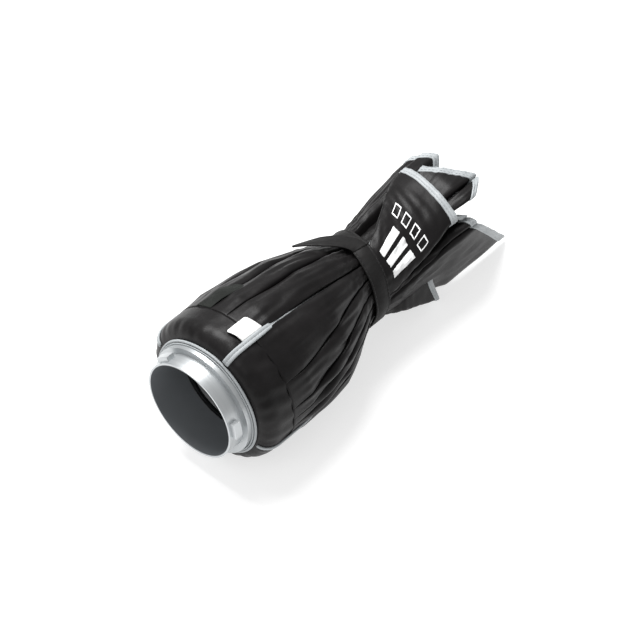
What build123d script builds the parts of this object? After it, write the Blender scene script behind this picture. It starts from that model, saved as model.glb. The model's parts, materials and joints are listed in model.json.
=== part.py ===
"""Collapsible 30 x 45 cm softbox with a three-lug bayonet speed ring, folded and strapped.

The frame is +X along the optical axis, from the ring's mouth to the open front, and +Z up.
The origin is the centre of the mouth. Angles round the axis run from +Z toward -Y.
"""
import os
from math import asin, cos, degrees, radians, sin

from build123d import *

# Driving dimensions, millimetres and degrees.
# Speed ring
spigot_inner_radius = 47.0
spigot_wall = 2.0
lug_count = 3
lug_width = 15.0
lug_height = 4.6
lug_axial = 8.0
lug_setback = 2.5
lug_chamfer = 0.8
first_lug_angle = -40.0
lip_front = 16.0
lip_thickness = 5.0
lip_height = 6.0
hub_front_gap = 0.5
hub_wall = 7.0
hub_rear_wall = 11.7
hub_front_length = 6.5
hub_shoulder = 13.7
hub_chamfer = 1.0
running_clearance = 0.3
glide_thickness = 0.8
collar_height = 4.0
collar_thickness = 4.3
collar_gap = 0.4
fit_gap = 0.1
retainer_thickness = 2.5
retainer_lip = 2.0
screw_radius = 1.5
screw_depth = 6.0
screw_edge = 4.0
screw_head_ratio = 1.9
screw_head_height = 2.0
screw_count = 4

# Vent sleeve behind the ring
sleeve_wall = 2.0
sleeve_length = 43.0
sleeve_flange = 1.5
sleeve_flange_height = 1.5
slot_count = 20
slot_width = 4.0
slot_setback = 2.5
slot_length = 24.0
hoop_setback = 2.0
hoop_width = 7.0
hoop_wall = 1.6

# Ribs and their hinges
rib_count = 4
first_seam_angle = 21.0
hinge_behind_retainer = 8.5
hinge_radius = 54.0
rib_length = 285.0
rod_radius = 2.0
rib_lean = 6.9
front_long_side = 450.0
front_short_side = 300.0
knuckle_width = 8.0
knuckle_radius = 4.5
ferrule_length = 30.0
ferrule_wall = 1.6
pin_radius = 2.0
pin_clearance = 0.08
cheek_thickness = 2.5
bracket_base = 2.5
bracket_height = 9.5
bracket_margin = 4.5
bracket_corner = 2.0
rivet_spread = 2.3
pin_overhang = 1.0
rivet_radius = 1.4
rivet_head = 1.2
tip_radius = 4.0
tip_length = 12.0
pocket_wall = 1.2
pocket_gap = 0.3
pocket_overhang = 2.0
pocket_length = 26.0

# Cloth
cloth = 1.5
binding = 1.2
binding_gap = 0.3
binding_width = 7.0
collar_start = 24.0
collar_radius = 57.0
piping_radius = 1.3
drum_start = 40.0
drum_end = 80.0
drum_radius = 72.0
floor_level = -70.5
body_station = 140.0
body_radius = 61.5
waist_station = 213.0
waist_radius = 40.5
flare_station = 300.0
flare_radius = 50.0
panel_fronts = [335.0, 300.0, 345.0, 322.0]
panel_overlap = 4.0
panel_edge_gap = 1.0
collar_edge_gap = 0.5
strap_width = 18.0
strap_thickness = 1.2
flap_panel = 1
flap_tip_station = 398.0
flap_offset = 26.0
patch_angle = -62.0
patch_arc = 40.0
patch_thickness = 1.0
tag_station = 57.0
tag_length = 24.0
tag_width = 15.0
tag_thickness = 0.6
vent_start = 58.0
vent_end = 104.0
vent_angle = -28.0
vent_width = 18.0
vent_thickness = 0.8

# Worked out from the dimensions above.
spigot_radius = spigot_inner_radius + spigot_wall
hub_front = lip_front + lip_thickness + hub_front_gap
hub_bore = spigot_radius + running_clearance
counterbore = spigot_radius + collar_height + collar_gap
shoulder_station = hub_front + hub_shoulder
collar_front = shoulder_station + glide_thickness + running_clearance
hub_rear = collar_front + collar_thickness + running_clearance + fit_gap
retainer_rear = hub_rear + retainer_thickness
hub_outer = hub_bore + hub_wall
hub_rear_outer = hub_bore + hub_rear_wall
screw_circle = hub_rear_outer - screw_edge
screw_angle = first_seam_angle + 180 / rib_count
sleeve_radius = spigot_inner_radius - retainer_lip
hinge_station = retainer_rear + hinge_behind_retainer
panel_start = hinge_station + panel_overlap


def around(angle):
    """Unit direction at an angle from +Z toward -Y."""
    return Vector(0, -sin(radians(angle)), cos(radians(angle)))


def radial_plane(angle):
    """Plane through the axis: local x is axial, local y points outward at the angle."""
    return Plane(origin=(0, 0, 0), x_dir=(1, 0, 0), z_dir=Vector(1, 0, 0).cross(around(angle)))


def seam_angle(index):
    return first_seam_angle + index * 360 / rib_count


def front_corner(index):
    """Corner of the open front that a rib reaches, as an offset from the axis."""
    along = around(first_seam_angle + 45)
    across = around(first_seam_angle - 45)
    long_sign = 1 if index in (0, 1) else -1
    short_sign = 1 if index in (0, 3) else -1
    return along * (long_sign * front_long_side / 2) + across * (short_sign * front_short_side / 2)


def hinge_point(index):
    return Vector(hinge_station, 0, 0) + around(seam_angle(index)) * hinge_radius


def swing_direction(index):
    """Direction, square to the axis, in which a rib swings outward."""
    return (front_corner(index) - around(seam_angle(index)) * hinge_radius).normalized()


def hinge_plane(index):
    """Plane at a hinge: x axial, y the outward swing, z along the pivot pin."""
    swing = swing_direction(index)
    axis = Vector(1, 0, 0).cross(swing)
    return Plane(origin=hinge_point(index), x_dir=(1, 0, 0), z_dir=axis)


def rib_plane(index):
    """The hinge plane leaned inward, so that its x runs along the folded rib."""
    swing = swing_direction(index)
    axis = Vector(1, 0, 0).cross(swing)
    along = Vector(cos(radians(rib_lean)), 0, 0) - swing * sin(radians(rib_lean))
    return Plane(origin=hinge_point(index), x_dir=along, z_dir=axis)


def across_rib(index, distance):
    """Plane square to a folded rib, at a distance from its hinge."""
    rib = rib_plane(index)
    return Plane(origin=rib.origin + rib.x_dir * distance, x_dir=rib.z_dir, z_dir=rib.x_dir)


def finish(piece, name):
    piece.part.label = name
    export_step(piece.part, f"parts/{name}.step")


def cloth_profile(end, lift, thickness, start=panel_start):
    """Closed axial section of the folded cloth, lifted off its outer surface."""
    stations = [(start, drum_radius), (drum_end, drum_radius), (body_station, body_radius)]
    waist_half = strap_width / 2 + 1
    stations += [(waist_station - waist_half, waist_radius), (waist_station + waist_half, waist_radius)]
    stations += [(flare_station, flare_radius)]
    slope = (flare_radius - waist_radius) / (flare_station - waist_station - waist_half)
    stations = [s for s in stations if s[0] < end]
    last = stations[-1]
    rise = slope if last[0] > waist_station else 0
    stations.append((end, last[1] + rise * (end - last[0])))
    outer = [(x, r + lift) for x, r in stations]
    inner = [(x, r + lift - thickness) for x, r in reversed(stations)]
    return outer + inner


os.makedirs("parts", exist_ok=True)

# Spigot: the tube that enters the lamp, with its front lip and the collar that it turns on.
with BuildPart() as spigot_ring:
    with BuildSketch(Plane.XY):
        with BuildLine():
            Polyline(
                (0, spigot_inner_radius),
                (0, spigot_radius),
                (lip_front, spigot_radius),
                (lip_front, spigot_radius + lip_height),
                (lip_front + lip_thickness, spigot_radius + lip_height),
                (lip_front + lip_thickness, spigot_radius),
                (collar_front, spigot_radius),
                (collar_front, spigot_radius + collar_height),
                (collar_front + collar_thickness, spigot_radius + collar_height),
                (collar_front + collar_thickness, spigot_inner_radius),
                close=True,
            )
        make_face()
    revolve(axis=Axis.X)
finish(spigot_ring, "spigot_ring")

# Bayonet lugs: three arcs standing on the tube just behind its mouth.
lug_arc = degrees(lug_width / spigot_radius)
with BuildPart() as bayonet_lugs:
    for lug in range(lug_count):
        start = first_lug_angle + lug * 360 / lug_count - lug_arc / 2
        with BuildSketch(radial_plane(start)):
            with BuildLine():
                Polyline(
                    (lug_setback, spigot_radius),
                    (lug_setback, spigot_radius + lug_height - lug_chamfer),
                    (lug_setback + lug_chamfer, spigot_radius + lug_height),
                    (lug_setback + lug_axial, spigot_radius + lug_height),
                    (lug_setback + lug_axial, spigot_radius),
                    close=True,
                )
            make_face()
        revolve(axis=Axis.X, revolution_arc=lug_arc)
finish(bayonet_lugs, "bayonet_lugs")

# Hub ring: the bearing housing, stepped out at the rear where it carries the retainer.
with BuildPart() as hub_ring:
    with BuildSketch(Plane.XY):
        with BuildLine():
            Polyline(
                (hub_front, hub_bore),
                (hub_front, hub_outer - hub_chamfer),
                (hub_front + hub_chamfer, hub_outer),
                (hub_front + hub_front_length, hub_outer),
                (hub_front + hub_front_length, hub_rear_outer),
                (hub_rear, hub_rear_outer),
                (hub_rear, counterbore),
                (shoulder_station, counterbore),
                (shoulder_station, hub_bore),
                close=True,
            )
        make_face()
    revolve(axis=Axis.X)
    with BuildSketch(Plane(origin=(hub_rear, 0, 0), x_dir=(0, 0, 1), z_dir=(-1, 0, 0))):
        with PolarLocations(screw_circle, screw_count, start_angle=-screw_angle):
            Circle(screw_radius)
    extrude(amount=screw_depth + 2, mode=Mode.SUBTRACT)
finish(hub_ring, "hub_ring")

# Glide ring: the nylon washer between the housing's shoulder and the spigot's collar.
with BuildPart() as glide_ring:
    with BuildSketch(Plane(origin=(shoulder_station, 0, 0), x_dir=(0, 0, 1), z_dir=(1, 0, 0))):
        Circle(counterbore - fit_gap)
        Circle(hub_bore + fit_gap, mode=Mode.SUBTRACT)
    extrude(amount=glide_thickness)
finish(glide_ring, "glide_ring")

# Retaining ring: closes the bearing from behind and carries the rib brackets.
with BuildPart() as retaining_ring:
    with BuildSketch(Plane(origin=(hub_rear, 0, 0), x_dir=(0, 0, 1), z_dir=(1, 0, 0))):
        Circle(hub_rear_outer)
        Circle(sleeve_radius - sleeve_wall, mode=Mode.SUBTRACT)
        with PolarLocations(screw_circle, screw_count, start_angle=screw_angle):
            Circle(screw_radius, mode=Mode.SUBTRACT)
    extrude(amount=retainer_thickness)
finish(retaining_ring, "retaining_ring")

# Retaining screws: pan heads on the retainer's rear face, shanks into the housing.
with BuildPart() as retaining_screws:
    for screw in range(screw_count):
        centre = around(screw_angle + screw * 360 / screw_count) * screw_circle
        with BuildSketch(Plane(origin=centre + Vector(retainer_rear, 0, 0), z_dir=(-1, 0, 0))):
            Circle(screw_radius)
        extrude(amount=retainer_thickness + screw_depth)
        with BuildSketch(Plane(origin=centre + Vector(retainer_rear, 0, 0), z_dir=(1, 0, 0))):
            Circle(screw_radius * screw_head_ratio)
        extrude(amount=screw_head_height)
finish(retaining_screws, "retaining_screws")

# Vent sleeve: a slotted tube on the retainer that keeps the cloth off the lamp.
with BuildPart() as vent_sleeve:
    with BuildSketch(Plane.XY):
        with BuildLine():
            Polyline(
                (retainer_rear, sleeve_radius - sleeve_wall),
                (retainer_rear, sleeve_radius + sleeve_flange_height),
                (retainer_rear + sleeve_flange, sleeve_radius + sleeve_flange_height),
                (retainer_rear + sleeve_flange, sleeve_radius),
                (retainer_rear + sleeve_length, sleeve_radius),
                (retainer_rear + sleeve_length, sleeve_radius - sleeve_wall),
                close=True,
            )
        make_face()
    revolve(axis=Axis.X)
    for slot in range(slot_count):
        angle = slot * 360 / slot_count
        slot_origin = Vector(retainer_rear + slot_setback + slot_length / 2, 0, 0)
        with BuildSketch(Plane(origin=slot_origin, x_dir=(1, 0, 0), z_dir=around(angle))):
            SlotOverall(slot_length, slot_width)
        extrude(amount=sleeve_radius + 2, mode=Mode.SUBTRACT)
finish(vent_sleeve, "vent_sleeve")

# Sleeve hoop: the band riveted round the sleeve's rear end.
hoop_front = retainer_rear + sleeve_length - hoop_width - hoop_setback
with BuildPart() as sleeve_hoop:
    with BuildSketch(Plane(origin=(hoop_front, 0, 0), x_dir=(0, 0, 1), z_dir=(1, 0, 0))):
        Circle(sleeve_radius + hoop_wall)
        Circle(sleeve_radius, mode=Mode.SUBTRACT)
    extrude(amount=hoop_width)
finish(sleeve_hoop, "sleeve_hoop")

# Sleeve rivets: heads on the hoop.
with BuildPart() as sleeve_rivets:
    for rivet in range(rib_count):
        outward = around(screw_angle + rivet * 360 / rib_count)
        head_centre = Vector(hoop_front + hoop_width / 2, 0, 0) + outward * (sleeve_radius + hoop_wall)
        with BuildSketch(Plane(origin=head_centre, z_dir=outward)):
            Circle(rivet_radius * 1.6)
        extrude(amount=rivet_head, taper=20)
finish(sleeve_rivets, "sleeve_rivets")

# Rib brackets: a base on the retainer and two cheeks that hold the pivot pin.
for index in range(rib_count):
    hinge = hinge_plane(index)
    half_gap = knuckle_width / 2 + running_clearance
    bracket_reach = hinge_behind_retainer
    with BuildPart() as bracket:
        base_plane = Plane(origin=hinge.origin - hinge.x_dir * bracket_reach, x_dir=hinge.z_dir, z_dir=(1, 0, 0))
        with BuildSketch(base_plane):
            RectangleRounded(2 * (half_gap + cheek_thickness + bracket_margin), bracket_height, bracket_corner)
        extrude(amount=bracket_base)
        for side in (-1, 1):
            cheek_start = half_gap if side > 0 else -half_gap - cheek_thickness
            with BuildSketch(hinge.offset(cheek_start)):
                with Locations((-(bracket_reach - bracket_base) / 2, 0)):
                    Rectangle(bracket_reach - bracket_base, bracket_height)
                Circle(bracket_height / 2)
                Circle(pin_radius, mode=Mode.SUBTRACT)
            extrude(amount=cheek_thickness)
    finish(bracket, f"bracket_{index + 1}")

# Bracket rivets: two heads on each bracket's base, outside its cheeks.
with BuildPart() as bracket_rivets:
    for index in range(rib_count):
        hinge = hinge_plane(index)
        spread = knuckle_width / 2 + running_clearance + cheek_thickness + rivet_spread
        for side in (-1, 1):
            seat = hinge.origin - hinge.x_dir * (hinge_behind_retainer - bracket_base)
            seat += hinge.z_dir * (side * spread)
            with BuildSketch(Plane(origin=seat, z_dir=(1, 0, 0))):
                Circle(rivet_radius)
            extrude(amount=rivet_head, taper=15)
finish(bracket_rivets, "bracket_rivets")

# Pivot pins: one across each bracket.
with BuildPart() as pivot_pins:
    for index in range(rib_count):
        pin_half = knuckle_width / 2 + running_clearance + cheek_thickness + pin_overhang
        with BuildSketch(hinge_plane(index).offset(-pin_half)):
            Circle(pin_radius)
        extrude(amount=2 * pin_half)
finish(pivot_pins, "pivot_pins")

# Ribs: a knuckle and ferrule on the pin, the rod, its tip cap and the cloth pocket over it.
for index in range(rib_count):
    rib = rib_plane(index)
    ferrule_radius = rod_radius + ferrule_wall
    with BuildPart() as rib_root:
        with BuildSketch(rib.offset(-knuckle_width / 2)):
            Circle(knuckle_radius)
        extrude(amount=knuckle_width)
        with BuildSketch(across_rib(index, 0)):
            Circle(ferrule_radius)
        extrude(amount=ferrule_length)
        with BuildSketch(rib):
            Circle(pin_radius + pin_clearance)
        extrude(amount=knuckle_width, both=True, mode=Mode.SUBTRACT)
        with BuildSketch(across_rib(index, knuckle_radius + 2)):
            Circle(rod_radius)
        extrude(amount=ferrule_length, mode=Mode.SUBTRACT)
    finish(rib_root, f"rib_root_{index + 1}")

    with BuildPart() as rib_rod:
        with BuildSketch(across_rib(index, knuckle_radius + 2)):
            Circle(rod_radius)
        extrude(amount=rib_length - tip_length - knuckle_radius - 2)
    finish(rib_rod, f"rib_rod_{index + 1}")

    with BuildPart() as rib_tip:
        with BuildSketch(across_rib(index, rib_length - tip_length)):
            Circle(tip_radius)
        extrude(amount=tip_length)
        fillet(rib_tip.edges().filter_by(GeomType.CIRCLE), tip_radius * 0.6)
    finish(rib_tip, f"rib_tip_{index + 1}")

    with BuildPart() as pocket:
        pocket_inner = tip_radius + pocket_gap
        with BuildSketch(across_rib(index, rib_length - pocket_length + pocket_overhang)):
            Circle(pocket_inner + pocket_wall)
            Circle(pocket_inner, mode=Mode.SUBTRACT)
        extrude(amount=pocket_length)
    finish(pocket, f"corner_pocket_{index + 1}")

# Rear collar: four gores of cloth gathered from the piping over the drum's shoulder.
with BuildPart() as rear_collar:
    for index in range(rib_count):
        with BuildSketch(radial_plane(seam_angle(index) + collar_edge_gap)):
            with BuildLine():
                rise = Spline(
                    (collar_start, collar_radius),
                    (drum_start, drum_radius),
                    tangents=[(0.35, 1), (1, 0)],
                )
                Line(rise @ 1, (panel_start - collar_edge_gap, drum_radius))
                Line(
                    (panel_start - collar_edge_gap, drum_radius),
                    (panel_start - collar_edge_gap, drum_radius - cloth),
                )
                Line((panel_start - collar_edge_gap, drum_radius - cloth), (drum_start, drum_radius - cloth))
                Spline(
                    (drum_start, drum_radius - cloth),
                    (collar_start + cloth, collar_radius),
                    tangents=[(-1, 0), (-0.35, -1)],
                )
                Line((collar_start + cloth, collar_radius), (collar_start, collar_radius))
            make_face()
        revolve(axis=Axis.X, revolution_arc=360 / rib_count - 2 * collar_edge_gap)
    split(bisect_by=Plane.XY.offset(floor_level), keep=Keep.TOP)
finish(rear_collar, "rear_collar")

# Rear binding: the piping that draws the cloth round the ring.
with BuildPart() as rear_binding:
    with BuildSketch(Plane.XY):
        with Locations((collar_start - piping_radius, collar_radius + piping_radius / 2)):
            Circle(piping_radius)
    revolve(axis=Axis.X)
finish(rear_binding, "rear_binding")

# Cloth panels: each folded gore between two seams, drawn in at the waist.
for index in range(rib_count):
    start_angle = seam_angle(index) + panel_edge_gap
    with BuildPart() as panel:
        with BuildSketch(radial_plane(start_angle)):
            with BuildLine():
                Polyline(*cloth_profile(panel_fronts[index], 0, cloth), close=True)
            make_face()
        revolve(axis=Axis.X, revolution_arc=360 / rib_count - 2 * panel_edge_gap)
        if index == flap_panel:
            # The loose corner that hangs past the front edge and meets the floor.
            flap_plane = Plane(origin=(0, -flap_offset, 0), x_dir=(1, 0, 0), z_dir=(0, -1, 0))
            with BuildSketch(flap_plane):
                with BuildLine():
                    Polyline(
                        (waist_station + 20, -waist_radius + 9),
                        (panel_fronts[index], -flare_radius + 12),
                        (panel_fronts[index] + 50, -flare_radius / 2),
                        (flap_tip_station, floor_level + 4),
                        (flap_tip_station - 6, floor_level),
                        (panel_fronts[index] + 30, floor_level + 3),
                        (panel_fronts[index] - 30, -flare_radius),
                        close=True,
                    )
                make_face()
            extrude(amount=cloth)
        split(bisect_by=Plane.XY.offset(floor_level), keep=Keep.TOP)
    finish(panel, f"panel_{index + 1}")

    # Hem binding: the folded tape along the gore's front edge.
    front = panel_fronts[index]
    profile = cloth_profile(front, 0, cloth)
    hem_radius = profile[len(profile) // 2 - 1][1]
    hem_start = start_angle
    if index == flap_panel:
        hem_start = 180 - degrees(asin(flap_offset / hem_radius)) + 4
    with BuildPart() as hem:
        with BuildSketch(radial_plane(hem_start)):
            with BuildLine():
                Polyline(
                    (front, hem_radius + binding_gap),
                    (front + binding, hem_radius + binding_gap),
                    (front + binding, hem_radius - cloth - binding_gap),
                    (front, hem_radius - cloth - binding_gap),
                    close=True,
                )
            make_face()
        revolve(axis=Axis.X, revolution_arc=seam_angle(index + 1) - panel_edge_gap - hem_start)
    finish(hem, f"hem_binding_{index + 1}")

# Seam bindings: tape standing on the seams between neighbouring gores.
binding_arc = degrees(binding_width / drum_radius)
for index in range(rib_count):
    seam_end = min(panel_fronts[index], panel_fronts[index - 1]) - 1
    with BuildPart() as seam_binding:
        with BuildSketch(radial_plane(seam_angle(index) - binding_arc / 2)):
            with BuildLine():
                Polyline(*cloth_profile(seam_end, binding_gap + binding, binding), close=True)
            make_face()
        revolve(axis=Axis.X, revolution_arc=binding_arc)
    finish(seam_binding, f"seam_binding_{index + 1}")

# Strap: webbing pulled tight round the waist, and the hook pad that closes it.
strap_inner = waist_radius + 2 * binding_gap + binding
with BuildPart() as strap:
    with BuildSketch(Plane(origin=(waist_station - strap_width / 2, 0, 0), x_dir=(0, 0, 1), z_dir=(1, 0, 0))):
        Circle(strap_inner + strap_thickness)
        Circle(strap_inner, mode=Mode.SUBTRACT)
    extrude(amount=strap_width)
finish(strap, "strap")

with BuildPart() as strap_patch:
    with BuildSketch(radial_plane(patch_angle)):
        with Locations((waist_station, strap_inner + strap_thickness + patch_thickness / 2)):
            Rectangle(strap_width - 2, patch_thickness)
    revolve(axis=Axis.X, revolution_arc=patch_arc)
finish(strap_patch, "strap_patch")

# Tag: the small woven label caught in the first seam, lying on the drum.
tag_arc = degrees(tag_width / drum_radius)
with BuildPart() as tag:
    with BuildSketch(radial_plane(first_seam_angle - binding_arc / 2 - tag_arc - 1)):
        with Locations((tag_station, drum_radius + binding_gap + tag_thickness / 2)):
            Rectangle(tag_length, tag_thickness)
    revolve(axis=Axis.X, revolution_arc=tag_arc)
finish(tag, "tag")

# Vent flap: the strip of hook tape along the upper gore.
vent_arc = degrees(vent_width / drum_radius)
with BuildPart() as vent_flap:
    with BuildSketch(radial_plane(vent_angle)):
        with BuildLine():
            Polyline(*cloth_profile(vent_end, binding_gap + vent_thickness, vent_thickness, vent_start), close=True)
        make_face()
    revolve(axis=Axis.X, revolution_arc=vent_arc)
finish(vent_flap, "vent_flap")
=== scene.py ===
import json
from math import cos, pi, radians, sin

import bmesh
import bpy
import numpy as np
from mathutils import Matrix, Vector


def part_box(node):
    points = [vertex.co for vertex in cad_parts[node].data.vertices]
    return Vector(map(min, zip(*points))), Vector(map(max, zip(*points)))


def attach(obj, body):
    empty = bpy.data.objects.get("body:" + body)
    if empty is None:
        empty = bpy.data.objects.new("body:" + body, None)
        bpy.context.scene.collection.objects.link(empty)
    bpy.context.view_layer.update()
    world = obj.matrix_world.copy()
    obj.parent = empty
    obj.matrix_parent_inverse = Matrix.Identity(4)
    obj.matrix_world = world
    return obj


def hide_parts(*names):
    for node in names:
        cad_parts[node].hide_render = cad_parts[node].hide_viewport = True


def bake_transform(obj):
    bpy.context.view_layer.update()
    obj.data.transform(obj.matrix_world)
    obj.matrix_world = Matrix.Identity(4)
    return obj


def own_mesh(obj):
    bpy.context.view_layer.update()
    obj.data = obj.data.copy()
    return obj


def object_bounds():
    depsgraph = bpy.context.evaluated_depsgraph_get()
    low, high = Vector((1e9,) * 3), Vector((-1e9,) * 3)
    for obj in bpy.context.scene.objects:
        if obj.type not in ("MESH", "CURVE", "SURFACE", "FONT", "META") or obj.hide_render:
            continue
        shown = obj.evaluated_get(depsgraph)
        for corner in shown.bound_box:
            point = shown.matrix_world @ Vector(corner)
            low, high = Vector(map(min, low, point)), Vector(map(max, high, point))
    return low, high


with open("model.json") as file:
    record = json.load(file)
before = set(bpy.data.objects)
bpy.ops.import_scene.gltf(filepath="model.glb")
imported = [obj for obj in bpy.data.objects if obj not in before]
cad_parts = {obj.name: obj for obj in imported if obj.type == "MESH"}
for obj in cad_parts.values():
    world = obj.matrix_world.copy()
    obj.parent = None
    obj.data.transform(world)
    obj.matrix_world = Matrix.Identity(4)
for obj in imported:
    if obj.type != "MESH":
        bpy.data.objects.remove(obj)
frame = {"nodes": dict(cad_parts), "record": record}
cad_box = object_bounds()
mm = 0.001

# ---------------------------------------------------------------- the light spigot
# A satin silver aluminium tube with three bayonet lugs, painted dark grey inside so that it
# throws no stray light. It turns in the hub, so its finish has faint marks round the axis.


class Wire:
    """A socket in a shader tree. Sums on wires add Math nodes."""

    def __init__(self, tree, socket):
        self.tree, self.socket = tree, socket

    def math(self, operation, *others):
        return self.tree.add("Math", dict(operation=operation), self, *others).out()

    def __add__(self, other):
        return self.math("ADD", other)

    def __mul__(self, other):
        return self.math("MULTIPLY", other)

    def __pow__(self, other):
        return self.math("POWER", other)

    def __rsub__(self, other):
        return self.tree.add("Math", dict(operation="SUBTRACT"), other, self).out()

    __radd__, __rmul__ = __add__, __mul__

    def ramp(self, low, high):
        """Rises from 0 at low to 1 at high."""
        return self.tree.add("MapRange", dict(clamp=True), self, low, high).out()


class Placed:
    """A node that stands in a tree."""

    def __init__(self, tree, node):
        self.tree, self.node = tree, node

    def out(self, name=0):
        return Wire(self.tree, self.node.outputs[name])


class Tree:
    """A node tree. add() makes any node of it."""

    family = "ShaderNode"

    def __init__(self, tree):
        self.nodes, self.links = tree.nodes, tree.links
        self.nodes.clear()

    def add(self, kind, settings=None, *inputs, **named):
        family = "ShaderNode" if kind in ("Math", "CombineXYZ") else self.family
        node = self.nodes.new(kind if kind.startswith("Node") else family + kind)
        for key, value in (settings or {}).items():
            setattr(node, key, value)
        for socket, value in [*enumerate(inputs), *named.items()]:
            key = socket.replace("_", " ") if isinstance(socket, str) else socket
            self.set(node.inputs[key], value)
        return Placed(self, node)

    def set(self, socket, value):
        if isinstance(value, Wire):
            self.links.new(value.socket, socket)
        elif value is not None:
            socket.default_value = value


def opaque(colour):
    return colour if isinstance(colour, Wire) else (*colour, 1)


class Finish(Tree):
    """One material. surface() closes it with a Principled shader."""

    def __init__(self, name):
        self.material = bpy.data.materials.new(name)
        self.material.use_nodes = True
        super().__init__(self.material.node_tree)

    def mix(self, share, low, high):
        node = self.add("Mix", dict(data_type="RGBA"))
        self.set(node.node.inputs[0], share)
        self.set(node.node.inputs[6], opaque(low))
        self.set(node.node.inputs[7], opaque(high))
        return node.out(2)

    def place(self):
        return self.add("TexCoord").out("Object")

    def noise(self, scale, detail=2.0, place=None):
        vector = place or self.place()
        return self.add("TexNoise", None, Vector=vector, Scale=scale, Detail=detail).out("Fac")

    def stretched(self, scale):
        return self.add("Mapping", None, Vector=self.place(), Scale=scale).out()

    def surface(self, colour, roughness, height=None, bump=0.1, distance=0.0002, **sockets):
        shader = self.add("BsdfPrincipled", None, Roughness=roughness, **sockets)
        self.set(shader.node.inputs["Base Color"], opaque(colour))
        if height is not None:
            relief = self.add("Bump", None, Strength=bump, Distance=distance, Height=height)
            self.set(shader.node.inputs["Normal"], relief.out())
        output = self.add("OutputMaterial")
        self.links.new(shader.node.outputs[0], output.node.inputs[0])
        return self.material


def refinish(material, *nodes):
    for node in nodes:
        for slot in frame["nodes"][node].material_slots:
            slot.material = material


def from_axis(finish):
    """Distance of the shaded point from the optical axis, in metres."""
    parts = finish.add("SeparateXYZ", None, finish.place())
    across, up = parts.out("Y"), parts.out("Z")
    return (across * across + up * up) ** 0.5


mounts = {mount["name"]: mount for mount in frame["record"]["mounts"]}
bore_radius = mounts["light_bore"]["dims"]["r_mm"] * mm
paint_film = 0.1 * mm
silver = Finish("satin_silver")
outside = from_axis(silver).ramp(bore_radius + paint_film, bore_radius + 3 * paint_film)
lathe_marks = silver.noise(900.0, 3.0, silver.stretched((1.0, 0.03, 0.03)))
cloudy = silver.noise(30.0, 3.0)
wall_paint = silver.mix(cloudy, (0.125, 0.134, 0.143), (0.165, 0.176, 0.187))
bare_metal = silver.mix(lathe_marks, (0.44, 0.46, 0.47), (0.56, 0.58, 0.59))
satin_silver = silver.surface(
    silver.mix(outside, wall_paint, bare_metal),
    outside * (lathe_marks * 0.12 + 0.30) + (1 - outside) * 0.55,
    lathe_marks,
    bump=0.06,
    Metallic=outside * 0.75,
)
refinish(satin_silver, "spigot_ring", "bayonet_lugs")

# ---------------------------------------------------------------- the hub and its hardware
# Black anodised aluminium rings, a grey slotted sleeve, plated steel brackets, screws and pins.
# The finish is a fine grain with lighter, worn patches where hands and lamps rub it.


def metal(name, dark, light, rough, metallic):
    coat = Finish(name)
    grain = coat.noise(2600.0, 2.0)
    worn = coat.noise(55.0, 4.0).ramp(0.52, 0.75)
    return coat.surface(
        coat.mix(worn, dark, light), grain * 0.15 + rough, grain, bump=0.08, Metallic=metallic
    )


anodised = metal("black_anodised", (0.012, 0.013, 0.014), (0.035, 0.036, 0.038), 0.34, 0.6)
sleeve_grey = metal("sleeve_grey", (0.50, 0.505, 0.51), (0.75, 0.755, 0.76), 0.40, 0.6)
plated = metal("plated_steel", (0.36, 0.37, 0.38), (0.50, 0.50, 0.51), 0.30, 0.95)
bright = metal("bright_steel", (0.55, 0.55, 0.56), (0.66, 0.66, 0.67), 0.24, 1.0)
moulded = metal("moulded_black", (0.014, 0.014, 0.015), (0.024, 0.024, 0.025), 0.52, 0.0)
nylon = metal("glide_nylon", (0.70, 0.69, 0.65), (0.78, 0.77, 0.74), 0.45, 0.0)
ribs = range(1, 5)
refinish(anodised, "hub_ring", "retaining_ring")
refinish(sleeve_grey, "vent_sleeve", "sleeve_hoop")
refinish(plated, *[f"bracket_{i}" for i in ribs])
refinish(bright, "retaining_screws", "bracket_rivets", "sleeve_rivets", "pivot_pins")
refinish(bright, *[f"rib_rod_{i}" for i in ribs])
refinish(moulded, *[f"rib_root_{i}" for i in ribs], *[f"rib_tip_{i}" for i in ribs])
refinish(nylon, "glide_ring")

# ---------------------------------------------------------------- the cloths
# Coated nylon, black and slightly satin outside and silver inside. The weave follows the cloth's
# own UV map, which is in metres, and faint creases run through both faces.


def weave(finish, pitch):
    """Height of a plain weave of that pitch, from two crossed sets of threads."""
    parts = finish.add("SeparateXYZ", None, finish.add("TexCoord").out("UV"))
    turns = 2 * pi / pitch
    warp = (parts.out("X") * turns).math("SINE")
    weft = (parts.out("Y") * turns).math("SINE")
    return warp * weft * 0.5 + 0.5


def cloth_finish(name, dark, light, rough, pitch, bump=0.25, metallic=0.0, **sockets):
    cloth = Finish(name)
    threads = weave(cloth, pitch)
    rumple = cloth.noise(38.0, 5.0)
    crumple = cloth.noise(150.0, 3.0)
    tone = cloth.mix(rumple.ramp(0.30, 0.75), dark, light)
    height = threads * 0.12 + rumple * 6.0 + crumple * 1.4
    return cloth.surface(
        tone, crumple * 0.10 + rough, height,
        bump=bump, distance=0.0004, Metallic=metallic, **sockets,
    )


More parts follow.
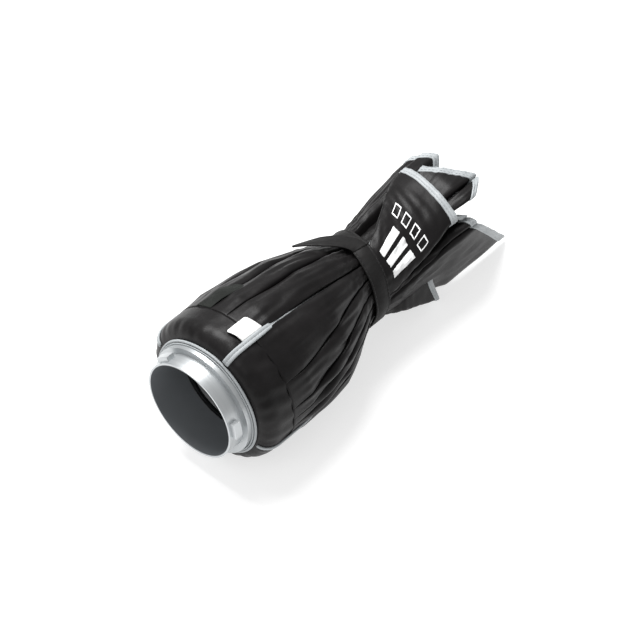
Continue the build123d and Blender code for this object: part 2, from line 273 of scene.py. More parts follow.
black_nylon = cloth_finish(
    "black_nylon", (0.0050, 0.0046, 0.0047), (0.0115, 0.0105, 0.0108), 0.34, 0.0005,
    Specular_IOR_Level=0.36, IOR=1.30,
)
silver_lining = cloth_finish(
    "silver_lining", (0.45, 0.46, 0.47), (0.60, 0.61, 0.62), 0.32, 0.0005, metallic=0.7,
)
silver_tape = cloth_finish(
    "silver_tape", (0.29, 0.31, 0.32), (0.40, 0.42, 0.43), 0.48, 0.0008, bump=0.4,
)
black_webbing = cloth_finish(
    "black_webbing", (0.0055, 0.0052, 0.0052), (0.0095, 0.0090, 0.0090), 0.58, 0.0014,
    bump=0.8, Specular_IOR_Level=0.2,
)
hook_tape = cloth_finish(
    "hook_tape", (0.005, 0.006, 0.005), (0.012, 0.014, 0.012), 0.75, 0.0009,
    bump=1.0, Specular_IOR_Level=0.2,
)
white_satin = cloth_finish("white_satin", (0.80, 0.80, 0.79), (0.88, 0.88, 0.87), 0.45, 0.0004)
white_print = cloth_finish("white_print", (0.82, 0.83, 0.83), (0.90, 0.90, 0.90), 0.50, 0.0005)

# ---------------------------------------------------------------- the folded gores
# Four gores of cloth, each sewn to two ribs. Folded, each one is laid in long pleats that deepen
# from the drum to the waist, where the strap holds them, and then spread again into the flaps.

drum_low, drum_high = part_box("rear_collar")
gore_start = drum_high[0]
waist_low, waist_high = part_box("strap")
waist = (waist_low[0] + waist_high[0]) / 2
first_seam = 21.0
floor = cad_box[0][2]
floor_gap = 0.6 * mm
flap_reach = 303 * mm
belly, belly_length = 135 * mm, 42 * mm


def glide(x, stations, values):
    """Values between stations, easing in and out of each."""
    x = np.asarray(x, float)
    stations = np.asarray(stations, float)
    place = np.clip(np.searchsorted(stations, x, side="right") - 1, 0, len(stations) - 2)
    low, high = stations[place], stations[place + 1]
    share = np.clip((x - low) / (high - low), 0, 1)
    share = share * share * (3 - 2 * share)
    values = np.asarray(values, float)
    return values[place] * (1 - share) + values[place + 1] * share


body_stations = np.array([24, 40, 80, 105, 140, 173]) * mm
body_stations = np.append(body_stations, [waist - 9 * mm, waist + 9 * mm])
body_radii = np.array([57, 72, 72, 67.5, 62, 52, 39.4, 39.4]) * mm
fold_stations = np.array([80 * mm, waist - 4 * mm, waist + 7 * mm, 300 * mm])


def body_radius(x):
    return np.interp(x, body_stations, body_radii)


def strap_slant(angle):
    """How far the slanted strap lies ahead of the waist at an angle round the axis."""
    return 9 * mm * np.cos(np.radians(angle + 70))


def skew(angle, x):
    """How far the slanted strap draws the cloth forward or back."""
    reach = np.array([100 * mm, waist - 14 * mm, waist + 14 * mm, 290 * mm])
    return strap_slant(angle) * glide(x, reach, [0, 1, 1, 0])


def turned(x, turns):
    """Angle at a station: eased along the drum and under the strap, straight along the flaps."""
    flap = np.clip((x - fold_stations[2]) / (fold_stations[3] - fold_stations[2]), 0, 1)
    return glide(x, fold_stations[:3], turns[:3]) + (turns[3] - turns[2]) * flap


class Crest:
    """One pleat of a gore: its angles at the drum, behind the strap, in front of it and at the
    front, then the radii and stations of its front corners, all in millimetres and degrees."""

    def __init__(self, drum, behind, fan, front, radius, hem, flat=0.0, swell=0.0, under=0.0):
        self.turns = drum, behind, fan, front
        self.radius, self.hem, self.flat, self.swell, self.under = radius, hem, flat, swell, under

    def angle(self, side, x):
        return turned(x, [turn[side] for turn in self.turns])

    def top(self, side, x):
        front = np.clip((x - waist - 9 * mm) / (flap_reach - waist), 0, 1)
        radius = body_radius(x) * (1 - front) + self.radius[side] * mm * front
        swell = self.swell * np.exp(-(((x - belly) / belly_length) ** 2))
        lies = glide(x, np.array([waist, waist + 14 * mm, 306 * mm, 332 * mm]), [0, 1, 1, 0])
        return radius + (swell - self.under * lies) * mm

    def at(self, share, x):
        """Points (y, z) on the crest, a share of the way across it."""
        angle = self.angle(0, x) * (1 - share) + self.angle(1, x) * share
        radius = self.top(0, x) * (1 - share) + self.top(1, x) * share
        puff = glide(x, np.array([70, 110, 180, 208, 300]) * mm, [0, 3.0, 2.0, 0.4, 2.5]) * mm
        radius = radius + puff * (np.sin(pi * share) ** 0.7 - 0.5)
        turn = np.radians(angle)
        round_one = np.stack([-radius * np.sin(turn), radius * np.cos(turn)])
        a, b = np.radians(self.angle(0, x)), np.radians(self.angle(1, x))
        start = np.stack([-self.top(0, x) * np.sin(a), self.top(0, x) * np.cos(a)])
        end = np.stack([-self.top(1, x) * np.sin(b), self.top(1, x) * np.cos(b)])
        straight = start * (1 - share) + end * share
        flat = self.flat * glide(x, np.array([222, 275]) * mm, [0, 1])
        return round_one * (1 - flat) + straight * flat


class Gore:
    """A folded cloth panel as a grid of points, with the cloth that its pleats take up."""

    def __init__(self, crests, seams, ring_width, hem_width, length, rows=120, across=18, deep=9):
        self.crests, self.seams, self.length = crests, seams, length
        self.ring_width, self.hem_width = ring_width, hem_width
        self.rows = rows
        columns, hems = [], []
        for index, crest in enumerate(crests):
            columns += [("down", index, (k + 0.5) / deep) for k in range(deep)]
            columns += [("crest", index, k / (across - 1)) for k in range(across)]
        columns += [("down", len(crests), (k + 0.5) / deep / 2) for k in range(deep)]
        columns[:deep] = [("down", 0, 0.5 + (k + 0.5) / deep / 2) for k in range(deep)]
        self.columns = columns
        for kind, index, share in columns:
            if kind == "crest":
                low, high = crests[index].hem
                hems.append(low + (high - low) * share)
            else:
                before = crests[max(index - 1, 0)].hem[1]
                after = crests[min(index, len(crests) - 1)].hem[0]
                dip = 10 * sin(pi * share)
                hems.append(before * (1 - share) + after * share - dip)
        turns = [(c.turns[1], c.turns[2]) for c in crests]
        self.mean_turns = []
        for kind, index, share in columns:
            behind, fan = turns[min(index, len(crests) - 1)]
            share = share if kind == "crest" else float(index == len(crests))
            mean = [low * (1 - share) + high * share for low, high in (behind, fan)]
            self.mean_turns.append(mean)
        hems = np.array(hems)
        kernel = np.array([1, 2, 3, 2, 1]) / 9
        self.hems = np.convolve(np.pad(hems, 2, mode="edge"), kernel, mode="valid") * mm
        self.grid = self.points(np.linspace(0, 1, rows))

    def valley(self, index, x):
        """The bottom (y, z) of the pleat before crest index."""
        crests = self.crests
        reach = [gore_start, gore_start + self.length]
        width = np.interp(x, reach, [self.ring_width, self.hem_width])
        depth = 1.05 * (width - pi / 2 * body_radius(x)) / (2 * len(crests) - 2)
        if index in (0, len(crests)):
            seam = self.seams[index > 0]
            angle, top, depth = seam.angle(x), body_radius(x), np.minimum(depth, seam.dive(x))
        else:
            angle = (crests[index - 1].angle(1, x) + crests[index].angle(0, x)) / 2
            top = (crests[index - 1].top(1, x) + crests[index].top(0, x)) / 2
        radius = np.maximum(top - depth, 0.007)
        turn = np.radians(angle)
        return np.stack([-radius * np.sin(turn), radius * np.cos(turn)])

    def column(self, kind, index, share, x):
        if kind == "crest":
            return self.crests[index].at(share, x)
        bottom = self.valley(index, x)
        if share < 0.5:
            edge = self.crests[index - 1].at(1.0, x)
            slide = share * 2
            return edge * (1 - slide) + bottom * slide
        edge = self.crests[index].at(0.0, x)
        slide = share * 2 - 1
        return bottom * (1 - slide) + edge * slide

    def points(self, shares):
        grid = np.zeros((len(shares), len(self.columns), 3))
        for j, (kind, index, share) in enumerate(self.columns):
            x = gore_start + shares * (self.hems[j] - gore_start)
            grid[:, j, 0] = x
            turn = np.where(x < waist, *self.mean_turns[j])
            grid[:, j, 1:] = self.column(kind, index, share, x - skew(turn, x)).T
        kernel = np.array([1, 2, 1]) / 4
        for _ in range(2):
            left, middle, right = grid[:, :-2, 1:], grid[:, 1:-1, 1:], grid[:, 2:, 1:]
            grid[:, 1:-1, 1:] = middle * kernel[1] + left * kernel[0] + right * kernel[2]
        grid[:, :, 2] = np.maximum(grid[:, :, 2], floor + floor_gap)
        return grid


def wrinkle(grid, size, seed):
    """Moves a grid of points by a few sine ripples, fading in from its rear edge."""
    generator = np.random.default_rng(seed)
    x, y, z = grid[..., 0], grid[..., 1], grid[..., 2]
    angle = np.arctan2(-y, z)
    push = np.zeros_like(x)
    for _ in range(7):
        along, turns = generator.uniform(14, 55), generator.uniform(3, 17)
        shift = generator.uniform(0, 2 * pi, 2)
        ripple = np.sin(x * along * 2 + shift[0]) * np.sin(angle * turns + x * along + shift[1])
        push += generator.uniform(0.4, 1.0) * ripple
    streaks = np.sin(angle * 31 + 2.5 * np.sin(x * 21 + seed)) * np.sin(x * 34 + angle * 2 + seed)
    streaks = streaks + 0.7 * np.sin(angle * 53 + 3 * np.sin(x * 17)) * np.sin(x * 47 + 1)
    ahead, behind = (x - waist - 0.028) / 0.022, (x - waist + 0.022) / 0.014
    crush = np.exp(-(ahead**2)) + np.exp(-(behind**2))
    crush = crush * np.sin(angle * 19 + x * 260 + seed) * np.sin(x * 310 + angle * 7)
    fade = np.clip((x - gore_start) / 0.03, 0, 1)
    radius = np.hypot(y, z) + 1e-6
    push = (push / 3 * size + streaks * 0.55 * mm + crush * 0.8 * mm) * fade
    grid[..., 1] += push * y / radius
    grid[..., 2] += push * z / radius
    return grid


def sheet_mesh(name, grid, materials, thickness=0.0, close=False):
    """A mesh from a grid of points, with a UV map that gives distances along the cloth."""
    rows, columns = grid.shape[:2]
    faces = []
    around = columns if close else columns - 1
    for i in range(rows - 1):
        for j in range(around):
            k = (j + 1) % columns
            here, ahead = i * columns, (i + 1) * columns
            faces.append((here + j, here + k, ahead + k, ahead + j))
    mesh = bpy.data.meshes.new(name)
    mesh.from_pydata(grid.reshape(-1, 3).tolist(), [], faces)
    across = np.linalg.norm(np.diff(grid, axis=1), axis=2)
    across = np.concatenate([np.zeros((rows, 1)), np.cumsum(across, axis=1)], axis=1)
    along = np.linalg.norm(np.diff(grid, axis=0), axis=2)
    along = np.concatenate([np.zeros((1, columns)), np.cumsum(along, axis=0)], axis=0)
    layer = mesh.uv_layers.new(name="cloth")
    corners = np.array([loop.vertex_index for loop in mesh.loops])
    flat = np.stack([across.ravel()[corners], along.ravel()[corners]], axis=1)
    layer.data.foreach_set("uv", flat.ravel())
    mesh.shade_smooth()
    piece = bpy.data.objects.new(name, mesh)
    bpy.context.scene.collection.objects.link(piece)
    for material in materials:
        mesh.materials.append(material)
    if thickness:
        wall = piece.modifiers.new("wall", "SOLIDIFY")
        wall.thickness, wall.offset = thickness, -1
        wall.material_offset = 1 if len(materials) > 1 else 0
        wall.material_offset_rim = 0
    return piece


class Seam:
    """The line between two gores: its angles, and how deep it lies in its pleat."""

    def __init__(self, turns, depth, half_width):
        self.turns, self.depth, self.half_width = turns, depth, half_width

    def angle(self, x):
        return turned(x, self.turns)

    def dive(self, x):
        return glide(x, np.array([66, 90, 150]) * mm, [0, self.depth * 0.5, self.depth]) * mm


seams = [
    Seam((21, 23, 12, -42), 7, 3.4),
    Seam((111, 104, 112, 132), 0.8, 1.5),
    Seam((201, 206, 206, 208), 5, 3.0),
    Seam((291, 283, 283, 284), 5, 2.4),
    Seam((381, 383, 372, 318), 7, 3.4),
]
ring_edge, short_hem, long_hem = 113 * mm, 300 * mm, 450 * mm
short_reach, long_reach = 262 * mm, 215 * mm
gores = {
    1: Gore(
        [
            Crest(
                (22, 60), (24, 44), (12, 90),
                (-42, 54), (54.5, 52.5), (323, 310), flat=0.5, swell=1,
            ),
            Crest((61, 82), (45, 62), (88, 91), (50, 62), (44, 40), (318, 330), under=3),
            Crest((83, 92), (63, 78), (91, 98), (64, 74), (42, 46), (330, 334), swell=2, under=2),
            Crest(
                (93, 101), (79, 92), (98, 146),
                (74, 160), (48, 74), (334, 403), flat=0.95, swell=3,
            ),
            Crest((102, 110), (93, 103), (140, 120), (157, 150), (50, 36), (345, 335), swell=4),
        ],
        seams[0:2], ring_edge, short_hem, short_reach,
    ),
    2: Gore(
        [
            Crest(
                (112, 132), (105, 124), (118, 150),
                (151, 168), (81, 73), (290, 300), flat=0.4, swell=6,
            ),
            Crest((133, 152), (125, 146), (150, 160), (166, 176), (64, 58), (300, 310), swell=3),
            Crest((153, 172), (147, 168), (162, 176), (172, 186), (56, 54), (325, 330), swell=2),
            Crest((173, 200), (169, 205), (178, 206), (184, 206), (54, 50), (336, 330)),
        ],
        seams[1:3], ring_edge, long_hem, long_reach,
    ),
    3: Gore(
        [
            Crest((202, 225), (207, 228), (207, 228), (208, 228), (50, 53), (336, 340)),
            Crest((226, 246), (229, 246), (229, 246), (230, 248), (54, 52), (338, 345)),
            Crest((247, 268), (247, 264), (247, 264), (250, 268), (50, 53), (340, 338), swell=1),
            Crest((269, 290), (265, 282), (265, 282), (270, 283), (54, 49), (345, 342), swell=2),
        ],
        seams[2:4], ring_edge, short_hem, short_reach,
    ),
    4: Gore(
        [
            Crest((292, 312), (284, 304), (284, 300), (286, 304), (50, 53), (338, 336), swell=3),
            Crest(
                (313, 334), (305, 320), (301, 330),
                (306, 331), (56, 48), (336, 357), swell=1, under=1,
            ),
            Crest(
                (335, 354), (321, 348), (335, 385),
                (330, 387), (49, 46), (330, 360), flat=0.7, under=8,
            ),
            Crest(
                (355, 380), (350, 382), (386, 396),
                (388, 404), (46, 52), (360, 338), flat=0.3, under=8,
            ),
        ],
        seams[3:5], ring_edge, long_hem, long_reach,
    ),
}
cloth_wall = 0.0005


def around_axis(angle, radius, x):
    turn = radians(angle)
    return Vector((x, -radius * sin(turn), radius * cos(turn)))


def spread(piece, k):
    """Bakes the placement of a piece of gore k into its mesh. The angles of the gore's two ribs are
    worked out but not used.
    """
    angles = (first_seam + 90 * (k - 1), first_seam + 90 * k)
    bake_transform(piece)


for k, gore in gores.items():
    wrinkle(gore.grid, 0.0009, seed=k)
    panel = sheet_mesh(f"panel_cloth_{k}", gore.grid, [black_nylon, silver_lining], cloth_wall)
    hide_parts(f"panel_{k}")
    spread(panel, k)

# ---------------------------------------------------------------- the rear collar and piping
# The gores' rear ends, gathered over the drum's shoulder by a silver piping that hooks behind
# the hub's lip. The cloth is drawn in with small puckers that die away on the drum.

piping_low, piping_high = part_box("rear_binding")
piping_radius = piping_high[2]
shoulder, shoulder_share, drum_run = 16 * mm, 0.45, 19.2 * mm
lip_radius, drum_radius = 56.8 * mm, 71.8 * mm
collar_rows, collar_columns = 44, 480
collar_path = np.linspace(0, 1, collar_rows)
collar_turn = np.linspace(0, 2 * pi, collar_columns, endpoint=False)
bend = np.minimum(collar_path / shoulder_share, 1)
collar_x = np.where(
    collar_path < shoulder_share,
    drum_low[0] + shoulder * (1 - np.cos(bend * pi / 2)),
    drum_low[0] + shoulder + (collar_path - shoulder_share) / (1 - shoulder_share) * drum_run,
)
collar_r = lip_radius + (drum_radius - lip_radius) * np.sin(bend * pi / 2) ** 0.85
turns, x_grid = np.meshgrid(collar_turn, collar_x)
r_grid = np.repeat(collar_r[:, None], collar_columns, axis=1)
pucker = 0.5 * np.sin(turns * 23 + 1.3 * np.sin(turns * 5)) + 0.35 * np.sin(turns * 37 + 2.0)
fading = np.exp(-(((x_grid - drum_low[0] - 0.005) / 0.007) ** 2))
tucked = np.clip((x_grid - gore_start + 0.0005) / 0.003, 0, 1)
slack = 0.35 * np.sin(turns * 4 + 0.7) * np.sin((x_grid - drum_low[0]) * 95)
drawn = np.clip(np.cos(turns - radians(66)), 0, 1) * np.clip((x_grid - 0.034) / 0.012, 0, 1)
pleats = 0.5 * np.sin(turns * 26 + 2 * np.sin(x_grid * 60)) * drawn
r_grid = r_grid + (0.55 * pucker * fading + slack + pleats) * mm - 0.0008 * tucked - 0.0001
collar_grid = np.stack([x_grid, -r_grid * np.sin(turns), r_grid * np.cos(turns)], axis=2)
collar_grid[:, :, 2] = np.maximum(collar_grid[:, :, 2], floor + floor_gap)
cloth_faces = [black_nylon, silver_lining]
collar = sheet_mesh("rear_collar_cloth", collar_grid, cloth_faces, cloth_wall, close=True)
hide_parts("rear_collar")
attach(collar, "hub")


def bead(name, material, radius, x, thickness, wobble):
    """A soft cord drawn round the axis."""
    path = []
    for k in range(360):
        a = radians(k)
        r = radius + wobble * (sin(3 * a + 1) + 0.6 * sin(7 * a))
        path.append((x + wobble * sin(5 * a), -r * sin(a), r * cos(a)))
    path = np.array(path)
    ring = []
    outward = path * (0, 1, 1) / np.linalg.norm(path[:, 1:], axis=1)[:, None]
    for k in range(11):
        a = 2 * pi * k / 10
        ring.append(path + outward * thickness * cos(a) + np.array([thickness * sin(a), 0, 0]))
    ring = np.array(ring)
    ring = np.concatenate([ring, ring[:, :1]], axis=1)
    return sheet_mesh(name, ring, [material])


cord_radius, fold_radius = 1.3 * mm, 0.8 * mm
piping = bead(
    "rear_piping", silver_tape,
    piping_radius - cord_radius, piping_low[0] + cord_radius, cord_radius, 0.00025,
)
edge_fold = bead(
    "piping_edge", silver_tape,
    piping_radius - 4 * fold_radius, piping_low[0] - 0.2 * mm, fold_radius, 0.0002,
)
for cord in (piping, edge_fold):
    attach(cord, "hub")
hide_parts("rear_binding")

# ---------------------------------------------------------------- the seam tapes
# Silver bias tape folded over each seam and lockstitched with grey thread. It stands proud over
# the shoulder and runs down into the pleats, where the gores close over it. Each stitch is a
# short bead of thread that dips into the tape at both ends.


def tape_grid(path, outward, half_width, height, groove=0.25):
    """Sweeps a folded tape's section along a path. outward is the cloth's normal at each point."""
    path, outward = np.asarray(path, float), np.asarray(outward, float)
    along = np.gradient(path, axis=0)
    along /= np.linalg.norm(along, axis=1)[:, None]
    side = np.cross(along, outward)
    side /= np.linalg.norm(side, axis=1)[:, None]
    top = [(-1, 0), (-0.96, 0.7), (-0.7, 1), (-0.1, 0.92), (0, 0.92 - groove), (0.1, 0.92)]
    top += [(0.7, 1), (0.96, 0.7), (1, 0), (0.8, -0.25), (-0.8, -0.25), (-1, 0)]
    half = np.broadcast_to(np.asarray(half_width, float), (len(path),))[:, None]
    rise = np.broadcast_to(np.asarray(height, float), (len(path),))[:, None]
    columns = [path + side * a * half + outward * b * rise for a, b in top]
    return np.stack(columns, axis=1)


def cap_ends(piece):
    """Closes a tape's two open ends."""
    work = bmesh.new()
    work.from_mesh(piece.data)
    bmesh.ops.remove_doubles(work, verts=work.verts, dist=0.00001)
    bmesh.ops.holes_fill(work, edges=[e for e in work.edges if e.is_boundary])
    bmesh.ops.recalc_face_normals(work, faces=work.faces)
    work.to_mesh(piece.data)
    work.free()


def tape(name, path, outward, half_width, height, material, groove=0.25):
    piece = sheet_mesh(name, tape_grid(path, outward, half_width, height, groove), [material])
    cap_ends(piece)
    return piece


class Repeats(Tree):
    """A geometry tree with named inputs."""

    family = "GeometryNode"

    def __init__(self, name, inputs):
        self.group = bpy.data.node_groups.new(name, "GeometryNodeTree")
        super().__init__(self.group)
        self.keys = {}
        for label, kind in inputs.items():
            self.keys[label] = self.socket(label, "INPUT", kind).identifier
        self.socket("Sewn", "OUTPUT", "Geometry")
        self.given = self.add("NodeGroupInput").out

    def socket(self, label, side, kind):
        interface = self.group.interface
        return interface.new_socket(label, in_out=side, socket_type="NodeSocket" + kind)

    def close(self, geometry):
        self.links.new(geometry.socket, self.add("NodeGroupOutput").node.inputs[0])

    def grow(self, path, **values):
        """Runs the tree on an object and gives back its result as a new, plain object."""
        modifier = path.modifiers.new("repeats", "NODES")
        modifier.node_group = self.group
        for label, value in values.items():
            modifier[self.keys[label]] = value
        graph = bpy.context.evaluated_depsgraph_get()
        mesh = bpy.data.meshes.new_from_object(path.evaluated_get(graph), depsgraph=graph)
        piece = bpy.data.objects.new(path.name + "_sewn", mesh)
        bpy.context.scene.collection.objects.link(piece)
        bpy.data.objects.remove(path)
        return piece


stitches = Repeats("stitches", dict(
    Path="Geometry", Pitch="Float", Length="Float", Width="Float", Thread="Material",
))
seam_curve = stitches.add("MeshToCurve", None, stitches.given("Path")).out()
holes = stitches.add(
    "CurveToPoints", dict(mode="LENGTH"), Curve=seam_curve, Length=stitches.given("Pitch"),
)
bead_shape = stitches.add("SetShadeSmooth", None, stitches.add("MeshIcoSphere", None, 0.5, 2).out())
width = stitches.given("Width")
bead_size = stitches.add("CombineXYZ", None, width, width, stitches.given("Length"))
sewn = stitches.add(
    "InstanceOnPoints", None, Points=holes.out(), Instance=bead_shape.out(),
    Rotation=holes.out("Rotation"), Scale=bead_size.out(),
)
whole = stitches.add("RealizeInstances", None, sewn.out()).out()
dyed = stitches.add("SetMaterial", None, Geometry=whole, Material=stitches.given("Thread"))
stitches.close(dyed.out())
grey_thread = cloth_finish("grey_thread", (0.20, 0.21, 0.22), (0.28, 0.29, 0.30), 0.5, 0.0002)
black_thread = cloth_finish("black_thread", (0.01, 0.01, 0.01), (0.02, 0.02, 0.02), 0.45, 0.0002)


def sew(name, paths, thread, pitch=0.0032):
    """Rows of stitches along paths."""
    corners, edges = [], []
    for path in paths:
        edges += [(len(corners) + i, len(corners) + i + 1) for i in range(len(path) - 1)]
        corners += [tuple(point) for point in path]
    mesh = bpy.data.meshes.new(name)
    mesh.from_pydata(corners, edges, [])
    line = bpy.data.objects.new(name, mesh)
    bpy.context.scene.collection.objects.link(line)
    return stitches.grow(line, Pitch=pitch, Length=0.68 * pitch, Width=0.42 * mm, Thread=thread)


def seam_path(k, low, high, count, lift):
    """Points and normals along seam k between two stations on the folded cloth."""
    x = np.linspace(low, high, count)
    seam = seams[k - 1]
    bent = x - skew(np.where(x < waist, seam.turns[1], seam.turns[2]), x)
    cloth = np.where(x < 40 * mm, np.interp(x, collar_x, collar_r), body_radius(bent))
    radius = cloth - seam.dive(bent) + lift
    turn = np.radians(seam.angle(bent))
    points = np.stack([x, -radius * np.sin(turn), radius * np.cos(turn)], axis=1)
    slope = -np.gradient(radius, x)
    normal = np.stack([slope, -np.sin(turn), np.cos(turn)], axis=1)
    return points, normal / np.linalg.norm(normal, axis=1)[:, None]


tape_lift = 0.3 * mm
for k in ribs:
    tape_half = seams[k - 1].half_width * mm
    holder = (k - 2) % 4 + 1
    low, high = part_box(f"seam_binding_{k}")
    points, outward = seam_path(k, gore_start - 1 * mm, high[0] - 4 * mm, 90, tape_lift)
    narrow = glide(points[:, 0], np.array([60, 90, 130]) * mm, [1, 0.62, 0.45])
    rise = 0.0004 + 0.0009 * narrow
    moving = tape(f"seam_tape_{k}", points, outward, tape_half * narrow, rise, silver_tape)
    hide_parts(f"seam_binding_{k}")
    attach(moving, f"seam_{holder}")
    moving_row = sew(f"seam_row_{k}", [points + outward * rise[:, None] * 0.80], grey_thread)
    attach(moving_row, f"seam_{holder}")
    points, outward = seam_path(k, drum_low[0] + 0.4 * mm, gore_start + 1 * mm, 40, tape_lift)
    still = tape(f"shoulder_tape_{k}", points, outward, tape_half, 0.0014, silver_tape)
    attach(still, "hub")
    still_row = sew(f"shoulder_row_{k}", [points + outward * 0.0010], grey_thread)
    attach(still_row, "hub")

# ---------------------------------------------------------------- the hem tapes
# The front edge of each gore is bound in the same silver tape, folded over the edge so that it
# shows on both faces of the flaps.

hem_width = 7.8 * mm
hem_shares = [1, 0.93, 0.55, 0.5, 0.45, 0]
hem_lifts = [0.0001, 0.0007, 0.0008, 0.0004, 0.0008, 0.0007]
for k, gore in gores.items():
    back = []
    for share in hem_shares:
        reach = 1 - hem_width * share / np.mean(gore.hems - gore_start)
        back.append(wrinkle(gore.points(np.array([reach])), 0.0009, seed=k)[0])
    rear, front = back[0], back[-1]
    forward = front - rear
    forward /= np.linalg.norm(forward, axis=1)[:, None]
    across = np.gradient(front, axis=0)
    across /= np.linalg.norm(across, axis=1)[:, None] + 1e-9
    outward = np.cross(forward, across)
    outward /= np.linalg.norm(outward, axis=1)[:, None] + 1e-9
    outward *= np.sign((outward * front * (0, 1, 1)).sum(axis=1).mean())
    outer = [row + outward * lift for row, lift in zip(back, hem_lifts)]
    inner = [row - outward * (lift + cloth_wall) for row, lift in zip(back, hem_lifts)]
    nose = front + forward * 0.7 * mm
    section = np.stack([*outer, nose, *reversed(inner), outer[0]], axis=1)
    section[:, :, 2] = np.maximum(section[:, :, 2], floor)
    hem = sheet_mesh(f"hem_tape_{k}", section, [silver_tape])
    cap_ends(hem)
    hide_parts(f"hem_binding_{k}")
    rows = [outer[1] * 0.4 + outer[2] * 0.6 + outward * 0.0001, outer[-2] * 0.5 + outer[-1] * 0.5]
    hem_rows = sew(f"hem_rows_{k}", rows, grey_thread, 0.0036)
    for piece in (hem, hem_rows):
        spread(piece, k)

# ---------------------------------------------------------------- the strap
# Black webbing pulled tight round the waist and closed on itself. Its pointed end is left
# sticking out past the closing, toward the ring.

strap_half = (waist_high[0] - waist_low[0]) / 2
strap_radius = (waist_high[2] - waist_low[2]) / 2
strap_wall = 1.3 * mm


def strap_band(angles, x, radius, half):
    """A strip of webbing along angles round the axis, as a closed ribbon."""
    turn = np.radians(angles)
    path = np.stack([x, -radius * np.sin(turn), radius * np.cos(turn)], axis=1)
    outward = np.stack([0 * turn, -np.sin(turn), np.cos(turn)], axis=1)
    along = np.gradient(path, axis=0)
    along /= np.linalg.norm(along, axis=1)[:, None]
    side = np.cross(along, outward)
    side /= np.linalg.norm(side, axis=1)[:, None]
    section = [(-1, 0), (-1, 0.8), (-0.95, 1), (-0.8, 1), (-0.77, 0.8), (-0.74, 1), (0, 1.06)]
    section += [(0.74, 1), (0.77, 0.8), (0.8, 1), (0.95, 1), (1, 0.8), (1, 0), (0, 0.02), (-1, 0)]
    half = np.broadcast_to(np.asarray(half, float), (len(path),))[:, None]
    return np.stack([path + side * a * half + outward * b * strap_wall for a, b in section], axis=1)


round_angles = np.linspace(-44, 316, 400)
settle = 0.35 * np.sin(np.radians(round_angles * 9))
settle = settle + 0.25 * np.sin(np.radians(round_angles * 5 + 40))
band_x = waist + strap_slant(round_angles)
band_grid = strap_band(round_angles, band_x, strap_radius - 0.0016 + settle * mm, strap_half)
band = sheet_mesh("strap_webbing", band_grid, [black_webbing])
cap_ends(band)
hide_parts("strap")
tail_share = np.linspace(0, 1, 60)
tail_angles = 8 - 44 * tail_share
tail_x = waist + strap_slant(tail_angles) - 50 * mm * tail_share**1.8
tail_radius = strap_radius - 0.0002 + 17.5 * mm * tail_share**1.6
tail_half = strap_half * np.clip((1.02 - tail_share) / 0.32, 0, 1) ** 0.7
tail_grid = strap_band(tail_angles, tail_x, tail_radius, tail_half)
tail = sheet_mesh("strap_tail", tail_grid, [black_webbing])
cap_ends(tail)
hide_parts("strap_patch")
turn = np.radians(round_angles)
lifted = strap_radius - 0.0003 + settle * mm
edges = []
for edge in (-0.87, 0.87):
    row = [band_x + edge * strap_half, -lifted * np.sin(turn), lifted * np.cos(turn)]
    edges.append(np.stack(row, axis=1))
strap_rows = sew("strap_rows", edges, black_thread, 4 * mm)
for webbing in (band, tail, strap_rows):
    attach(webbing, "rib_1")
    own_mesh(webbing)

# ---------------------------------------------------------------- the tag and the vent flap
# A white woven label folded into the first seam, and a strip of dark hook tape that closes the
# vent along the upper gore.

tag_low, tag_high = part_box("tag")
tag_length, tag_corner = tag_high[0] - tag_low[0], 2.2 * mm
tag_rows = []
for across in np.linspace(0, 1, 15):
    angle = first_seam - 2.5 - 13.5 * across
    row = []
    for along in np.linspace(0, 1, 21):
        inset = tag_corner * (1 - np.sqrt(max(0, 1 - max(0, (across - 0.84) / 0.16) ** 2)))
        x = tag_low[0] + inset + (tag_length - 2 * inset) * along - 0.0035 * across
        lift = 0.0010 + 0.0022 * sin(pi * across) * (0.6 + 0.4 * cos(3 * along))
        row.append(around_axis(angle, body_radius(x) + lift, x))
    tag_rows.append(row)
label = sheet_mesh("woven_label", np.array(tag_rows), [white_satin], 0.0005)
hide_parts("tag")
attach(label, "hub")

vent_rows = []
for along in np.linspace(0, 1, 30):
    station = gore_start + 0.5 * mm + 40 * mm * along
    row = []
    for across in np.linspace(0, 1, 13):
        angle = -36 + 15 * across + 3 * along
        lift = 0.0006 + 0.0003 * sin(pi * across) + 0.0004 * cos(9 * along + 4 * across)
        radius = body_radius(station) + lift + 0.0008 * sin(pi * along)
        row.append(around_axis(angle, radius, station))
    vent_rows.append(row)
vent = sheet_mesh("vent_strip", np.array(vent_rows), [hook_tape], 0.0007)
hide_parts("vent_flap")
spread(vent, 4)

# ---------------------------------------------------------------- the corner pockets
# Short webbing sleeves sewn over the rib tips at the front corners of the cloth. Each one is
# turned round its own rib's line and drawn in behind the tip's knob.

for k in ribs:
    root_low, root_high = (Vector(p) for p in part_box(f"rib_root_{k}"))
    tip_low, tip_high = (Vector(p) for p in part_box(f"rib_tip_{k}"))
    root, tip = (root_low + root_high) / 2, (tip_low + tip_high) / 2
    along = (tip - root).normalized()
    side = along.cross(Vector((0, 0, 1))).normalized()
    other = side.cross(along)
    profile = [(-19, 5.0), (-18.5, 5.6), (-16, 5.5), (-14, 5.1), (-12, 5.4)]
    profile += [(-2, 5.3), (5, 5.0), (8, 3.6), (9, 1.2)]
    rows = []
    for place, radius in profile:
        ring = []
        for turn in np.linspace(0, 2 * pi, 33):
            squeeze = 1 + 0.05 * cos(2 * turn)
            spoke = side * cos(turn) * squeeze + other * sin(turn) / squeeze
            ring.append(tip + (along * place + spoke * radius) * mm)
        rows.append(ring)
    pocket = sheet_mesh(f"corner_pocket_sewn_{k}", np.array(rows), [black_webbing], 0.0006)
    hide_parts(f"corner_pocket_{k}")
    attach(pocket, f"rib_{k}")

# ---------------------------------------------------------------- the print
# Plain white marks printed on the broad flap: three slanted bars and a thin row of outlines.
# The ink is a film that follows the cloth's folds just above its weave.

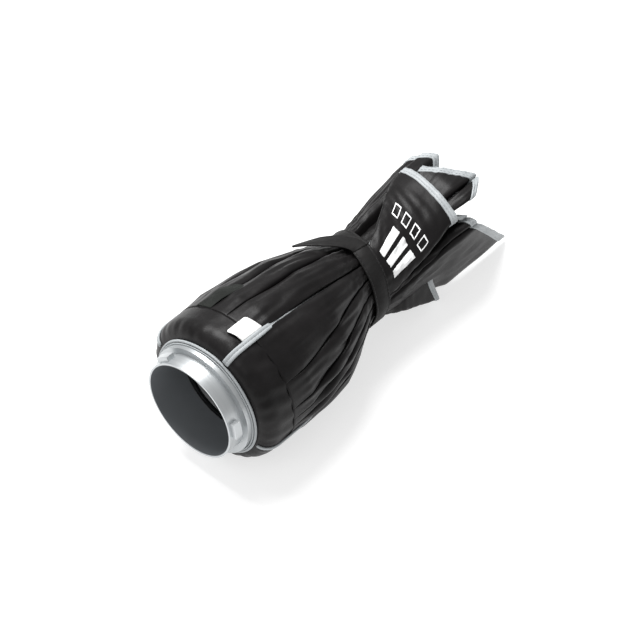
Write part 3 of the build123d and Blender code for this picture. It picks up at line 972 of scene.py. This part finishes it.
broad = gores[1]
broad_columns = [j for j, column in enumerate(broad.columns) if column[:2] == ("crest", 0)]
ink_lift = 0.35 * mm


def on_flap(across, along, lift):
    """A point on the broad flap, by shares across it and along it from the strap to the hem."""
    column = broad_columns[0] + across * (len(broad_columns) - 1)
    j = min(int(column), broad_columns[-1] - 1)
    start = (waist - gore_start) / (broad.hems[j] - gore_start)
    row = (start + (1 - start) * along) * (broad.rows - 1)
    i = min(int(row), broad.rows - 2)
    fx, fy = column - j, row - i
    grid = broad.grid
    point = (grid[i, j] * (1 - fx) + grid[i, j + 1] * fx) * (1 - fy)
    point = point + (grid[i + 1, j] * (1 - fx) + grid[i + 1, j + 1] * fx) * fy
    normal = np.cross(grid[i + 1, j] - grid[i, j], grid[i, j + 1] - grid[i, j])
    normal /= np.linalg.norm(normal)
    normal *= np.sign(normal[1] * point[1] + normal[2] * point[2])
    return point + normal * lift


def printed(corners, steps=14):
    """A printed quadrilateral that lies on the flap."""
    rows = []
    for u in np.linspace(0, 1, steps):
        row = []
        for v in np.linspace(0, 1, steps):
            a = np.array(corners[0]) * (1 - u) + np.array(corners[1]) * u
            b = np.array(corners[3]) * (1 - u) + np.array(corners[2]) * u
            spot = a * (1 - v) + b * v
            row.append(on_flap(spot[0], spot[1], ink_lift))
        rows.append(row)
    return np.array(rows)


marks = []
for first in (0.24, 0.44, 0.64):
    foot = [(first, 0.14), (first + 0.13, 0.14)]
    head = [(first + 0.19, 0.42), (first + 0.06, 0.42)]
    marks.append(printed(foot + head))
for first in (0.20, 0.38, 0.56, 0.74):
    low, high, thin = 0.50, 0.62, 0.014
    right = first + 0.11
    strokes = [(first, low, right, low + thin), (first, high - thin, right, high)]
    strokes += [(first, low, first + thin, high), (right - thin, low, right, high)]
    for left, bottom, end, top in strokes:
        marks.append(printed([(left, bottom), (end, bottom), (end, top), (left, top)], 6))
ink = [sheet_mesh(f"mark_{n}", grid, [white_print], 0.0001) for n, grid in enumerate(marks)]
for piece in ink:
    spread(piece, 1)

# ---------------------------------------------------------------- the floor, light and camera
# A glowing white sweep under the softbox, one large soft light above and behind it on the left,
# a weaker fill, and a long lens looking down on the ring.

bpy.ops.mesh.primitive_plane_add(size=8, location=(0.2, 0, floor))
ground = bpy.context.object
ground.name = "ground"
paper = Finish("white_paper")
glow = dict(Emission_Color=(1, 1, 1, 1), Emission_Strength=0.66)
ground.data.materials.append(paper.surface((0.45, 0.45, 0.45), 0.9, **glow))

world = bpy.data.worlds.new("studio")
bpy.context.scene.world = world
world.use_nodes = True
sky = world.node_tree.nodes["Background"]
sky.inputs["Color"].default_value = (1, 1, 1, 1)
sky.inputs["Strength"].default_value = 0.45


def soft_light(name, place, aim, size, power):
    data = bpy.data.lights.new(name, "AREA")
    data.shape, data.size, data.energy = "DISK", size, power
    lamp = bpy.data.objects.new(name, data)
    lamp.location = place
    lamp.rotation_euler = (Vector(aim) - Vector(place)).to_track_quat("-Z", "Y").to_euler()
    bpy.context.scene.collection.objects.link(lamp)


soft_light("key", (0.35, 0.75, 1.75), (0.2, 0, 0), 1.2, 62)
soft_light("fill", (-1.1, -0.2, 1.3), (0.15, 0, 0), 1.0, 5)

view_azimuth, view_height, view_width, view_distance = 42.377, 46.985, 13.0135, 2.5
view_centre = Vector((155.642, -11.048, 0)) * mm
look = Vector((
    cos(radians(view_height)) * cos(radians(view_azimuth)),
    cos(radians(view_height)) * sin(radians(view_azimuth)),
    -sin(radians(view_height)),
))
camera = bpy.data.objects.new("camera", bpy.data.cameras.new("camera"))
bpy.context.scene.collection.objects.link(camera)
camera.location = view_centre - look * view_distance
camera.rotation_euler = look.to_track_quat("-Z", "Y").to_euler()
camera.data.angle = radians(view_width)
bpy.context.scene.camera = camera
bpy.context.scene.view_settings.view_transform = "Standard"
